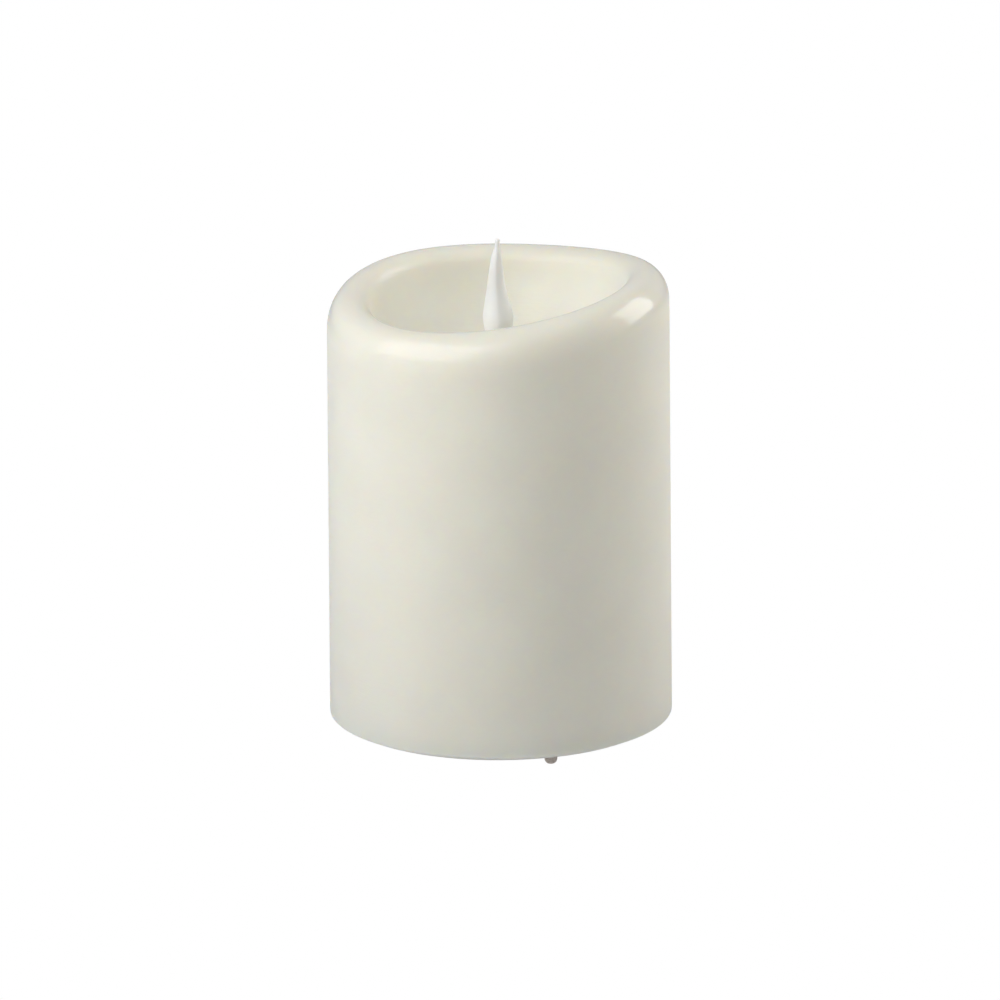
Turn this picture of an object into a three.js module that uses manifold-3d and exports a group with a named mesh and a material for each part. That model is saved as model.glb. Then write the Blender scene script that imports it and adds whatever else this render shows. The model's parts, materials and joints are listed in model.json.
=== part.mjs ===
// Flameless LED candle: a hollow wax pillar with a rolled rim, a soft drop-shaped flame cap
// over an LED, and a battery housing that closes the pillar from below.
// Millimetres, +Z up. The origin is on the resting plane, on the pillar's axis.
// The front of the candle faces -Y.

import * as THREE from 'three';
import { mergeVertices } from 'three/addons/utils/BufferGeometryUtils.js';
import Module from 'manifold-3d';

const wasm = await Module();
wasm.setup();

// ---------------------------------------------------------------- driving dimensions

const GAP = 0.3; // clearance between neighbouring pieces
const SEAT = 0.1; // clearance under a piece that sits on a flat board

// wax pillar
const WAX_R = 37.5;
const WAX_BOTTOM = 2.7;
const WAX_EDGE = 0.5; // rounding of the bottom edge
const CREST_R = 31.8; // radius of the rim's highest line
const CREST_Z = 99.9; // mean height of that line
const RIM_OUT_H = 7.3; // height of the rim's outer quarter ellipse
const LIP_ROUND = 4; // radius of the rim's inner rounding
const DISH_SLOPE = 75; // the bowl's steepest slope in degrees, where it meets that rounding
const BOWL_FLOOR_R = 6; // the bowl's flat centre
const THROAT_R = 4.6;
const THROAT_LIP = 0.8; // rounding of the throat's upper edge
const CAVITY_R = 32.8;
const CAVITY_TOP = 71.1;
const CAVITY_ROUND = 12;
const RABBET_R = 35.8;
const RABBET_TOP = 4.5;
const WAX_SIDES = 72;

// flame and its light
const FLAME_TOP = 110.35;
const FLAME_R = 3.35;
const FLAME_BELLY_Z = 92.6; // height of the widest place
const FLAME_NECK_R = 2.5;
const FLAME_BOTTOM = 77.5;
const FLAME_TIP_R = 0.55;
const FLAME_BOW = 0.4; // sideways bow of the flame's middle, towards -X
const RIDGE_POWER = 1.7; // the section is a rounded diamond, |x|^p + |y|^p = 1
const RIDGE_RISE = [86, 90]; // the heights between which the ridges grow from the round neck
const RIDGE_FADE = [107, 109]; // and fade into the round tip
const LED_R = 1.5;
const LED_BOTTOM = 75.7;
const LED_HEIGHT = 5.3;
const LED_FLANGE_R = 1.9;
const LED_FLANGE_H = 1;
const LEG_X = 1.27;
const LEG_R = 0.3;
const WIRE_R = 0.5;

// base plate: flange, cup wall and battery tray in one moulding
const FLANGE_R = 35.5;
const FLANGE_BOTTOM = 1.8;
const FLANGE_TOP = 4.2;
const CUP_R = 32.4;
const CUP_WALL = 1.2;
const CUP_TOP = 24;
const TRAY_X = 27; // half length of the battery well
const TRAY_Y = 14.8; // half width of the battery well
const TRAY_WALL = 1.2;
const TRAY_CEILING = 19.2;
const TRAY_TOP = 20.6;
const RECESS_X = 28.6;
const RECESS_Y = 16.5;
const RECESS_TOP = 3.4;
const FLOOR_CUT = 1; // every cut into the underside starts below the flange
const SCOOP_Y = 19; // a finger scoop beside the cover's latch
const SCOOP_SIZE = [7, 4.5, 1.5]; // half sizes of the scoop's ellipsoid
const DISH_SIZE = [8.5, 5, 1.2]; // half sizes of the ellipsoid around the switch
const SWITCH_SLOT = [4.2, 1.6]; // half sizes of the knob's slot
const TONGUE_SLOT_TOP = 5.8;

// lid of the housing and its screws
const LID_R = 32.2;
const LID_THICK = 1.5;
const LID_RIM_R = 27; // inside of the lid's raised rim
const LID_DIP = 0.5; // depth of the plain field inside that rim
const LID_BOSS = [22.5, 19.5];
const LID_BORE_BOTTOM = 13;
const LID_SCREW_L = 10;
const WIRE_HOLE = [-6, -22]; // where the LED leads pass the lid
const WIRE_HOLE_R = 2.4;
const BOSS_R = 2.3;
const BORE_R = 1.15;
const SCREW_R = 0.85;
const SCREW_HEAD_R = 1.9;
const SCREW_HEAD_H = 1.2;

// battery cover
const COVER_BOTTOM = 1.9;
const COVER_THICK = 1.2;
const TONGUE_X = 14;
const TONGUE_W = 8;
const LATCH_W = 8;
const LATCH_ROOT_Y = 9.6; // the latch's finger bends here
const LATCH_SLIT = 0.6;
const RIB_X = 18; // distance between the ribs that keep the cells apart
const RIB_TOP = 5.4;
const RAIL_X = 24; // half length of the stiffening rails
const RAIL_Y = [12.6, 13.6];
const RAIL_TOP = 5;
const GRIP_PITCH = 1.4;

// batteries, two size AA cells
const CELL_R = 7.1;
const CELL_L = 50.4;
const CELL_NUB_R = 2.75;
const CELL_NUB_L = 1.4;
const CELL_Y = 7.4;
const CELL_Z = 11.5;
const CELL_TIP_X = 26;
const CONTACT_X = 26.3;
const CONTACT_THICK = 0.4;
const CONTACT_HALF_W = 5;
const CONTACT_BOTTOM = 6.5;
const CONTACT_TOP = 18.4;
const TAIL_HALF_W = 1.2; // half width of the soldering tails
const TAIL_TOP = 22.4;
const TAIL_SLOT_X = [25.9, 27.4]; // the tails pass the tray's ceiling through these slots
const TAIL_SLOT_Y = 2;

// circuit board and slide switch
const BOARD_BOTTOM = 9.1;
const BOARD_TOP = 10.3;
const BOARD_BOSS = [15, -22.5];
const BOARD_BORE_BOTTOM = 5;
const BOARD_SCREW_L = 4.8;
const SWITCH_Y = -25;
const SWITCH_TRAVEL = 2; // each way from the middle position

// feet
const FOOT_R = 1.45;
const FOOT_FLAT_R = 0.5; // flat at the foot's tip
const FOOT_RING_R = 33.4;
const FOOT_TOP = 3;
const FIRST_FOOT = -71.1; // degrees from +X

// ---------------------------------------------------------------- materials

const finish = (color, roughness, metalness = 0) => ({ color, roughness, metalness });
const WAX = finish(0xe9e4d4, 0.38);
const FLAME = finish(0xf1efe9, 0.55);
const LENS = finish(0xf6e9c4, 0.15);
const HOUSING = finish(0xe4e0d6, 0.5);
const RUBBER = finish(0x878078, 0.75);
const STEEL = finish(0xc4c6c8, 0.3, 1);
const TIN = finish(0xd2d0c8, 0.35, 1);
const JACKET = finish(0x3f6f86, 0.35);
const LAMINATE = finish(0x2f6a46, 0.5);
const BLACK = finish(0x1c1c1e, 0.45);
const BEIGE = finish(0xcdb48c, 0.5);
const RED = finish(0xb3261e, 0.45);
const NAVY = finish(0x22345c, 0.4);

// ---------------------------------------------------------------- shape tools

const degrees = (angle) => (angle * Math.PI) / 180;

function toSolid(geometry) {
  const bare = geometry.clone();
  bare.deleteAttribute('normal');
  bare.deleteAttribute('uv');
  const merged = mergeVertices(bare, 1e-4);
  const index = merged.index.array;
  const kept = [];
  for (let i = 0; i < index.length; i += 3) {
    const [a, b, c] = [index[i], index[i + 1], index[i + 2]];
    if (a !== b && b !== c && c !== a) kept.push(a, b, c);
  }
  return new wasm.Manifold(new wasm.Mesh({
    numProp: 3,
    vertProperties: new Float32Array(merged.attributes.position.array),
    triVerts: new Uint32Array(kept),
  }));
}

function toGeometry(solid) {
  const mesh = solid.getMesh();
  const geometry = new THREE.BufferGeometry();
  geometry.setAttribute('position', new THREE.BufferAttribute(new Float32Array(mesh.vertProperties), 3));
  geometry.setIndex(new THREE.BufferAttribute(new Uint32Array(mesh.triVerts), 1));
  geometry.computeVertexNormals();
  return geometry;
}

function join(...pieces) {
  return toGeometry(pieces.map(toSolid).reduce((sum, piece) => sum.add(piece)));
}

function cut(body, ...tools) {
  return toGeometry(tools.map(toSolid).reduce((rest, tool) => rest.subtract(tool), toSolid(body)));
}

function common(body, other) {
  return toGeometry(toSolid(body).intersect(toSolid(other)));
}

// a block given by its lowest and highest corners
function block(x0, x1, y0, y1, z0, z1) {
  const box = new THREE.BoxGeometry(x1 - x0, y1 - y0, z1 - z0);
  return box.translate((x0 + x1) / 2, (y0 + y1) / 2, (z0 + z1) / 2);
}

// an upright cylinder between two heights
function post(radius, x, y, z0, z1, sides = 20) {
  const cylinder = new THREE.CylinderGeometry(radius, radius, z1 - z0, sides);
  return cylinder.rotateX(Math.PI / 2).translate(x, y, (z0 + z1) / 2);
}

// a solid of revolution about +Z; the outline runs anticlockwise in the (radius, height) plane
function turned(outline, sides = 24) {
  const points = outline.map(([radius, height]) => new THREE.Vector2(radius, height));
  return new THREE.LatheGeometry(points, sides).rotateX(Math.PI / 2);
}

// points on an ellipse's arc, angles in degrees
function arc(centreR, centreZ, semiR, semiZ, from, to, steps) {
  const points = [];
  for (let i = 0; i <= steps; i += 1) {
    const angle = degrees(from + ((to - from) * i) / steps);
    points.push([centreR + semiR * Math.cos(angle), centreZ + semiZ * Math.sin(angle)]);
  }
  return points;
}

// a round bar along a curve
function tube(path, radius, steps, sides = 6) {
  const corners = [];
  for (let i = 0; i < sides; i += 1) {
    const angle = (i / sides) * 2 * Math.PI;
    corners.push(new THREE.Vector2(radius * Math.cos(angle), radius * Math.sin(angle)));
  }
  const options = { steps, extrudePath: path, bevelEnabled: false };
  return new THREE.ExtrudeGeometry(new THREE.Shape(corners), options);
}

// an insulated wire through the given points
function wire(route, steps) {
  const points = route.map(([x, y, z]) => new THREE.Vector3(x, y, z));
  return tube(new THREE.CatmullRomCurve3(points), WIRE_R, steps);
}

const candle = new THREE.Group();

function place(name, geometry, look) {
  const mesh = new THREE.Mesh(geometry, new THREE.MeshStandardMaterial(look));
  mesh.name = name;
  candle.add(mesh);
  return mesh;
}

// ---------------------------------------------------------------- wax pillar

// height of the rim above its mean, by the angle from +X: low at the front left, high on the right
function rimWave(angle) {
  const once = 2.52 * Math.cos(angle) + 0.36 * Math.sin(angle);
  const twice = 0.57 * Math.cos(2 * angle) - 1.1 * Math.sin(2 * angle);
  const thrice = 0.16 * Math.cos(3 * angle) + 0.14 * Math.sin(3 * angle);
  return once + twice + thrice;
}

// how much shorter the rim's outer rounding is, by the same angle
function rimTuck(angle) {
  return 0.39 * Math.cos(angle) + 0.84 * Math.sin(angle);
}

const steepest = degrees(DISH_SLOPE);
const LIP_R = CREST_R - LIP_ROUND * Math.sin(steepest); // where the rounding meets the dish
const LIP_Z = CREST_Z - LIP_ROUND * (1 - Math.cos(steepest));
const DISH_R = (LIP_R - BOWL_FLOOR_R) / Math.sin(steepest); // radius of the dish's arc
const BOWL_FLOOR_Z = LIP_Z - DISH_R * (1 - Math.cos(steepest));

const smoothStep = (share) => share * share * (3 - 2 * share);

// The outline as [radius, height, lift, tuck]: lift is the share of the rim's wave that a point
// follows, and tuck the share of the outer rounding's change.
function waxOutline() {
  const outline = [[RABBET_R, WAX_BOTTOM, 0, 0]];
  const edge = arc(WAX_R - WAX_EDGE, WAX_BOTTOM + WAX_EDGE, WAX_EDGE, WAX_EDGE, -90, 0, 3);
  for (const [r, z] of edge) outline.push([r, z, 0, 0]);
  for (const [r, z] of arc(CREST_R, CREST_Z - RIM_OUT_H, WAX_R - CREST_R, RIM_OUT_H, 0, 90, 7)) {
    outline.push([r, z, 1, (CREST_Z - z) / RIM_OUT_H]);
  }
  const lip = arc(CREST_R, CREST_Z - LIP_ROUND, LIP_ROUND, LIP_ROUND, 90, 90 + DISH_SLOPE, 4);
  for (const [r, z] of lip.slice(1)) outline.push([r, z, 1, 0]);
  const dish = arc(BOWL_FLOOR_R, BOWL_FLOOR_Z + DISH_R, DISH_R, DISH_R, DISH_SLOPE - 90, -90, 7);
  for (const [r, z] of dish.slice(1)) {
    outline.push([r, z, smoothStep((z - BOWL_FLOOR_Z) / (LIP_Z - BOWL_FLOOR_Z)), 0]);
  }
  const throat = arc(THROAT_R + THROAT_LIP, BOWL_FLOOR_Z - THROAT_LIP, THROAT_LIP, THROAT_LIP, 90, 180, 2);
  for (const [r, z] of throat) outline.push([r, z, 0, 0]);
  outline.push([THROAT_R, CAVITY_TOP, 0, 0]);
  const [shoulderR, shoulderZ] = [CAVITY_R - CAVITY_ROUND, CAVITY_TOP - CAVITY_ROUND];
  const shoulder = arc(shoulderR, shoulderZ, CAVITY_ROUND, CAVITY_ROUND, 90, 0, 3);
  for (const [r, z] of shoulder) outline.push([r, z, 0, 0]);
  outline.push([CAVITY_R, RABBET_TOP, 0, 0], [RABBET_R, RABBET_TOP, 0, 0]);
  outline.push([RABBET_R, WAX_BOTTOM, 0, 0]);
  return outline;
}

function waxShell() {
  const outline = waxOutline();
  const geometry = turned(outline, WAX_SIDES);
  const position = geometry.attributes.position;
  for (let i = 0; i < position.count; i += 1) {
    const [, , lift, tuck] = outline[i % outline.length];
    const angle = Math.atan2(position.getY(i), position.getX(i));
    position.setZ(i, position.getZ(i) + lift * rimWave(angle) + tuck * rimTuck(angle));
  }
  return geometry;
}

place('wax_shell', waxShell(), WAX);

// ---------------------------------------------------------------- flame, LED and holder

// how far a value has come from start to end, from 0 to 1
const share = (value, start, end) => Math.min(Math.max((value - start) / (end - start), 0), 1);

// the diamond section's radius at an angle and height, as a share of the round section's
function ridgeScale(angle, z) {
  const strength = smoothStep(share(z, ...RIDGE_RISE)) * (1 - smoothStep(share(z, ...RIDGE_FADE)));
  const sum = Math.abs(Math.cos(angle)) ** RIDGE_POWER + Math.abs(Math.sin(angle)) ** RIDGE_POWER;
  return 1 + strength * (sum ** (-1 / RIDGE_POWER) - 1);
}

function flameCap() {
  const pocketR = LED_R + GAP;
  const pocketTop = LED_BOTTOM + LED_HEIGHT + GAP;
  const pocket = arc(0, pocketTop - pocketR, pocketR, pocketR, 90, 0, 4);
  const outline = [...pocket, [pocketR, FLAME_BOTTOM], [FLAME_NECK_R, FLAME_BOTTOM]];
  const flank = new THREE.SplineCurve([
    new THREE.Vector2(FLAME_NECK_R, 80.5),
    new THREE.Vector2(2.55, 84.5),
    new THREE.Vector2(2.72, 88.4),
    new THREE.Vector2(3.06, 89.9),
    new THREE.Vector2(FLAME_R, FLAME_BELLY_Z),
    new THREE.Vector2(2.76, 95.7),
    new THREE.Vector2(2.04, 99.3),
    new THREE.Vector2(1.6, 102.8),
    new THREE.Vector2(1.12, 106.3),
    new THREE.Vector2(0.62, 108.3),
    new THREE.Vector2(FLAME_TIP_R, 109),
  ]);
  for (const point of flank.getPoints(18)) outline.push([point.x, point.y]);
  outline.push(...arc(0, FLAME_TOP - FLAME_TIP_R, FLAME_TIP_R, FLAME_TIP_R, 0, 90, 3));
  const geometry = turned(outline, 24);
  const position = geometry.attributes.position;
  for (let i = 0; i < position.count; i += 1) {
    let [x, y] = [position.getX(i), position.getY(i)];
    const z = position.getZ(i);
    if (i % outline.length > pocket.length) {
      const scale = ridgeScale(Math.atan2(y, x), z);
      [x, y] = [x * scale, y * scale];
    }
    const bow = FLAME_BOW * Math.sin(Math.PI * share(z, FLAME_BELLY_Z, FLAME_TOP));
    position.setXY(i, x - bow, y);
  }
  return geometry;
}

function led() {
  const flangeTop = LED_BOTTOM + LED_FLANGE_H;
  const outline = [[0, LED_BOTTOM], [LED_FLANGE_R, LED_BOTTOM]];
  outline.push([LED_FLANGE_R, flangeTop], [LED_R, flangeTop]);
  const domeZ = LED_BOTTOM + LED_HEIGHT - LED_R;
  return turned(outline.concat(arc(0, domeZ, LED_R, LED_R, 0, 90, 4)), 16);
}

function ledHolder() {
  const [flangeR, flangeH, legBoreR] = [9, 1.6, 1.9];
  const flangeTop = CAVITY_TOP - GAP;
  const flangeBottom = flangeTop - flangeH;
  const tubeR = THROAT_R - GAP;
  const tubeTop = BOWL_FLOOR_Z - SEAT;
  const flameBoreR = FLAME_NECK_R + GAP;
  const flameSeatZ = FLAME_BOTTOM - GAP;
  const ledBoreR = LED_FLANGE_R + GAP;
  const ledSeatZ = LED_BOTTOM - GAP;
  const outline = [[legBoreR, flangeBottom], [flangeR, flangeBottom], [flangeR, flangeTop]];
  outline.push([tubeR, flangeTop], [tubeR, tubeTop], [flameBoreR, tubeTop], [flameBoreR, flameSeatZ]);
  outline.push([ledBoreR, flameSeatZ], [ledBoreR, ledSeatZ], [legBoreR, ledSeatZ], [legBoreR, flangeBottom]);
  return turned(outline, 32);
}

const SLEEVE_BOTTOM = 57.6;
const SLEEVE_TOP = 65.6;
const LED_LEG_BOTTOM = 62.6;
const LED_WIRE_TOP = 61.1;

function sleeve(x) {
  const [boreR, outerR] = [0.8, 1.1];
  const outline = [[boreR, SLEEVE_BOTTOM], [outerR, SLEEVE_BOTTOM], [outerR, SLEEVE_TOP]];
  outline.push([boreR, SLEEVE_TOP], [boreR, SLEEVE_BOTTOM]);
  return turned(outline, 12).translate(x, 0, 0);
}

// an LED lead runs down the hollow, through the lid's hole and onto the board
function ledWire(x) {
  const route = [[x, 0, LED_WIRE_TOP], [x, 0, 54], [x * 0.8 - 1.5, -5, 45], [x * 0.7 - 4.5, -14, 35]];
  route.push([x * 0.7 - 6, -20.5, 29], [x * 0.7 - 6, -22, 23], [x * 0.7 - 6, -22, 16]);
  route.push([x * 0.7 - 6, -22, BOARD_TOP + SEAT]);
  return wire(route, 24);
}

place('flame_cap', flameCap(), FLAME);
place('flame_led', led(), LENS);
place('led_holder', ledHolder(), HOUSING);
for (const [number, x] of [[1, -LEG_X], [2, LEG_X]]) {
  place(`led_leg_${number}`, post(LEG_R, x, 0, LED_LEG_BOTTOM, LED_BOTTOM - SEAT, 8), TIN);
  place(`led_sleeve_${number}`, sleeve(x), BLACK);
}
place('led_wire_red', ledWire(-LEG_X), RED);
place('led_wire_black', ledWire(LEG_X), BLACK);

// ---------------------------------------------------------------- base plate

const COVER_TOP = COVER_BOTTOM + COVER_THICK;
const HINGE_Y = -15.6; // the cover turns about its rounded edge here
const HINGE_Z = COVER_BOTTOM + COVER_THICK / 2;
const TONGUE_Z0 = 3;
const TONGUE_Z1 = 3.6;
const TONGUE_END_Y = -18;

const footAngles = [0, 1, 2].map((i) => degrees(FIRST_FOOT + i * 120));
const footPlaces = footAngles.map((a) => [FOOT_RING_R * Math.cos(a), FOOT_RING_R * Math.sin(a)]);
const lidBosses = [[-1, -1], [1, -1], [1, 1], [-1, 1]].map(([u, v]) => [u * LID_BOSS[0], v * LID_BOSS[1]]);
const boardBosses = [[-BOARD_BOSS[0], BOARD_BOSS[1]], BOARD_BOSS];

function basePlate() {
  const round = 0.4;
  const flange = [[0, FLANGE_BOTTOM]];
  flange.push(...arc(FLANGE_R - round, FLANGE_BOTTOM + round, round, round, -90, 0, 2));
  flange.push([FLANGE_R, FLANGE_TOP], [0, FLANGE_TOP]);
  const cupInner = CUP_R - CUP_WALL;
  const wallBottom = FLANGE_TOP - 0.2;
  const wall = [[cupInner, wallBottom], [CUP_R, wallBottom], [CUP_R, CUP_TOP], [cupInner, CUP_TOP]];
  wall.push(wall[0]);
  const [outerX, outerY] = [TRAY_X + TRAY_WALL, TRAY_Y + TRAY_WALL];
  const tray = common(
    block(-outerX, outerX, -outerY, outerY, wallBottom, TRAY_TOP),
    post(CUP_R - 0.01, 0, 0, 0, CUP_TOP, WAX_SIDES),
  );
  const bosses = lidBosses.map(([x, y]) => post(BOSS_R, x, y, wallBottom, CUP_TOP - SEAT));
  const boardPosts = boardBosses.map(([x, y]) => post(BOSS_R, x, y, wallBottom, BOARD_BOTTOM - GAP));
  const body = join(turned(flange, WAX_SIDES), turned(wall, WAX_SIDES), tray, ...bosses, ...boardPosts);

  const cuts = [
    block(-TRAY_X, TRAY_X, -TRAY_Y, TRAY_Y, FLOOR_CUT, TRAY_CEILING),
    block(-RECESS_X, RECESS_X, -RECESS_Y, RECESS_Y, FLOOR_CUT, RECESS_TOP),
  ];
  for (const side of [-1, 1]) {
    const [x0, x1] = [side * TONGUE_X - TONGUE_W / 2 - GAP, side * TONGUE_X + TONGUE_W / 2 + GAP];
    cuts.push(block(x0, x1, TONGUE_END_Y - GAP, -TRAY_Y + 0.1, TONGUE_Z0 - GAP, TONGUE_SLOT_TOP));
    const [y0, y1] = [side * CELL_Y - TAIL_SLOT_Y, side * CELL_Y + TAIL_SLOT_Y];
    cuts.push(block(...TAIL_SLOT_X, y0, y1, TRAY_CEILING - 1, TRAY_TOP + 1));
  }
  const scoop = new THREE.SphereGeometry(1, 24, 12).scale(...SCOOP_SIZE);
  cuts.push(scoop.translate(0, SCOOP_Y, FLANGE_BOTTOM));
  const dish = new THREE.SphereGeometry(1, 24, 12).scale(...DISH_SIZE);
  cuts.push(dish.translate(0, SWITCH_Y, FLANGE_BOTTOM));
  const [slotX, slotY] = SWITCH_SLOT;
  cuts.push(block(-slotX, slotX, SWITCH_Y - slotY, SWITCH_Y + slotY, FLOOR_CUT, FLANGE_TOP + 1));
  for (const [x, y] of footPlaces) cuts.push(post(FOOT_R + GAP, x, y, FLOOR_CUT, FOOT_TOP + GAP, 16));
  for (const [x, y] of lidBosses) cuts.push(post(BORE_R, x, y, LID_BORE_BOTTOM, CUP_TOP + 1, 12));
  for (const [x, y] of boardBosses) cuts.push(post(BORE_R, x, y, BOARD_BORE_BOTTOM, BOARD_BOTTOM, 12));
  return cut(body, ...cuts);
}

place('base_plate', basePlate(), HOUSING);

for (const [i, [x, y]] of footPlaces.entries()) {
  const outline = [[0, 0], ...arc(FOOT_FLAT_R, FOOT_R, FOOT_R - FOOT_FLAT_R, FOOT_R, -90, 0, 4)];
  outline.push([FOOT_R, FOOT_TOP], [0, FOOT_TOP]);
  place(`foot_${i + 1}`, turned(outline, 16), RUBBER).position.set(x, y, 0);
}

// ---------------------------------------------------------------- lid and screws

const LID_BOTTOM = CUP_TOP + GAP;
const LID_TOP = LID_BOTTOM + LID_THICK;

function lid() {
  const round = 0.5;
  const outline = [[0, LID_BOTTOM], [LID_R, LID_BOTTOM]];
  outline.push(...arc(LID_R - round, LID_TOP - round, round, round, 0, 90, 2));
  const fieldZ = LID_TOP - LID_DIP;
  outline.push([LID_RIM_R, LID_TOP], [LID_RIM_R - 0.6, fieldZ], [0, fieldZ]);
  const holes = lidBosses.map(([x, y]) => post(SCREW_R + GAP, x, y, LID_BOTTOM - 1, LID_TOP + 1, 12));
  const pads = lidBosses.map(([x, y]) => post(BOSS_R, x, y, LID_BOTTOM + 0.2, LID_TOP));
  holes.push(post(WIRE_HOLE_R, ...WIRE_HOLE, LID_BOTTOM - 1, LID_TOP + 1));
  return cut(join(turned(outline, WAX_SIDES), ...pads), ...holes);
}

// a pan-head screw with a cross recess; its head rests on the plane z = 0
function screw(length) {
  const outline = [[0, -length], [SCREW_R * 0.4, -length], [SCREW_R, 1 - length], [SCREW_R, 0]];
  outline.push([SCREW_HEAD_R, 0], [SCREW_HEAD_R, 0.45]);
  outline.push(...arc(0, 0.45, SCREW_HEAD_R, SCREW_HEAD_H - 0.45, 30, 90, 2));
  const [reach, half, depth] = [1.1, 0.25, 0.55];
  const slots = [
    block(-reach, reach, -half, half, depth, SCREW_HEAD_H + 1),
    block(-half, half, -reach, reach, depth, SCREW_HEAD_H + 1),
  ];
  return cut(turned(outline, 16), ...slots);
}

place('housing_lid', lid(), HOUSING);
for (const [i, [x, y]] of lidBosses.entries()) {
  place(`lid_screw_${i + 1}`, screw(LID_SCREW_L), STEEL).position.set(x, y, LID_TOP + SEAT);
}
for (const [i, [x, y]] of boardBosses.entries()) {
  place(`board_screw_${i + 1}`, screw(BOARD_SCREW_L), STEEL).position.set(x, y, BOARD_TOP + SEAT);
}

// ---------------------------------------------------------------- battery cover

function batteryCover() {
  const halfX = RECESS_X - GAP;
  const round = COVER_THICK / 2;
  const plate = block(-halfX, halfX, HINGE_Y, RECESS_Y - GAP, COVER_BOTTOM, COVER_TOP);
  const edge = new THREE.CylinderGeometry(round, round, 2 * halfX, 16).rotateZ(Math.PI / 2);
  edge.translate(0, HINGE_Y, HINGE_Z);
  const tongues = [-1, 1].map((side) => {
    const [x0, x1] = [side * TONGUE_X - TONGUE_W / 2, side * TONGUE_X + TONGUE_W / 2];
    const tongue = block(x0, x1, TONGUE_END_Y, HINGE_Y + 0.6, TONGUE_Z0, TONGUE_Z1);
    return join(tongue, block(x0, x1, HINGE_Y - 0.5, HINGE_Y + 0.6, HINGE_Z, TONGUE_Z1));
  });
  const ribs = [-RIB_X, 0, RIB_X].map((x) => block(x - 0.6, x + 0.6, -1.6, 1.6, HINGE_Z, RIB_TOP));
  const rails = [-1, 1].map((side) => {
    const [y0, y1] = side < 0 ? [-RAIL_Y[1], -RAIL_Y[0]] : RAIL_Y;
    return block(-RAIL_X, RAIL_X, y0, y1, HINGE_Z, RAIL_TOP);
  });
  const body = join(plate, edge, ...tongues, ...ribs, ...rails);

  // the snap latch: a finger between two slits, with a nib that grips the opening's edge
  const slits = [-1, 1].map((side) => {
    const x = side * (LATCH_W + LATCH_SLIT) / 2;
    const [x0, x1] = [x - LATCH_SLIT / 2, x + LATCH_SLIT / 2];
    return block(x0, x1, LATCH_ROOT_Y, RECESS_Y + 1, FLOOR_CUT, COVER_TOP + 3);
  });
  const grips = [0, 1, 2].map((i) => {
    const y = 11.4 + i * GRIP_PITCH;
    return block(-3, 3, y, y + 0.6, FLOOR_CUT, COVER_BOTTOM + 0.3);
  });
  const nib = join(
    block(-LATCH_W / 2, LATCH_W / 2, 13.2, 14.1, HINGE_Z, 5),
    block(-LATCH_W / 2, LATCH_W / 2, 13.2, 14.5, 4.4, 5),
  );
  return join(cut(body, ...slits, ...grips), nib);
}

place('battery_cover', batteryCover(), HOUSING);

// ---------------------------------------------------------------- batteries and contacts

function cell(direction) {
  const shoulder = CELL_L - CELL_NUB_L;
  const outline = [[0, 0], [CELL_R - 0.5, 0], [CELL_R, 0.5], [CELL_R, shoulder - 0.6]];
  outline.push([CELL_R - 0.6, shoulder], [CELL_NUB_R, shoulder], [CELL_NUB_R, CELL_L - 0.3]);
  outline.push([CELL_NUB_R - 0.3, CELL_L], [0, CELL_L]);
  const geometry = turned(outline, 24).rotateY((direction * Math.PI) / 2);
  return geometry.translate(direction * (CELL_TIP_X - CELL_L), direction * CELL_Y, CELL_Z);
}

// a conical spring that rises from its plate to a tip at the cell; side is the plate's end of the tray
function spring(side, y) {
  const [turns, baseR, tipR, height, barR] = [2.5, 4.2, 2, 1.4, 0.3];
  class Cone extends THREE.Curve {
    getPoint(t, target = new THREE.Vector3()) {
      const angle = t * turns * 2 * Math.PI;
      const radius = baseR + (tipR - baseR) * t;
      const x = side * (CONTACT_X + 0.1 - height * t);
      return target.set(x, y + radius * Math.cos(angle), CELL_Z + radius * Math.sin(angle));
    }
  }
  return tube(new Cone(), barR, 30);
}

function contactPlate(side, y0, y1) {
  const [inner, outer] = [side * CONTACT_X, side * (CONTACT_X + CONTACT_THICK)];
  return block(Math.min(inner, outer), Math.max(inner, outer), y0, y1, CONTACT_BOTTOM, CONTACT_TOP);
}

function contactTail(y) {
  const [x0, x1] = [CONTACT_X, CONTACT_X + CONTACT_THICK];
  return block(x0, x1, y - TAIL_HALF_W, y + TAIL_HALF_W, CONTACT_TOP - 0.4, TAIL_TOP);
}

place('battery_1', cell(1), JACKET);
place('battery_2', cell(-1), JACKET);
place('contact_positive', join(
  contactPlate(1, CELL_Y - CONTACT_HALF_W, CELL_Y + CONTACT_HALF_W),
  contactTail(CELL_Y),
), TIN);
place('contact_negative', join(
  contactPlate(1, -CELL_Y - CONTACT_HALF_W, -CELL_Y + CONTACT_HALF_W),
  contactTail(-CELL_Y),
  spring(1, -CELL_Y),
), TIN);
place('contact_bridge', join(
  contactPlate(-1, -CELL_Y - CONTACT_HALF_W, CELL_Y + CONTACT_HALF_W),
  spring(-1, CELL_Y),
), TIN);

const WIRE_Z = TRAY_TOP + WIRE_R + GAP; // the battery leads lie on top of the tray
place('battery_wire_red', wire([
  [CONTACT_X - 0.8, CELL_Y, WIRE_Z],
  [20, 3.5, WIRE_Z],
  [14, -7, WIRE_Z],
  [11.6, -15, WIRE_Z + 0.8],
  [11.5, -18.6, 19.4],
  [11.5, -19.3, 15],
  [11.5, -19.3, BOARD_TOP + SEAT],
], 18), RED);
place('battery_wire_black', wire([
  [CONTACT_X - 0.8, -CELL_Y, WIRE_Z],
  [21.5, -10, WIRE_Z],
  [18.6, -15, WIRE_Z + 0.8],
  [18.2, -18.8, 19.4],
  [18.2, -20, 15],
  [18.2, -20, BOARD_TOP + SEAT],
], 16), BLACK);

// ---------------------------------------------------------------- circuit board and its parts

const ON_BOARD = BOARD_TOP + SEAT;

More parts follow.
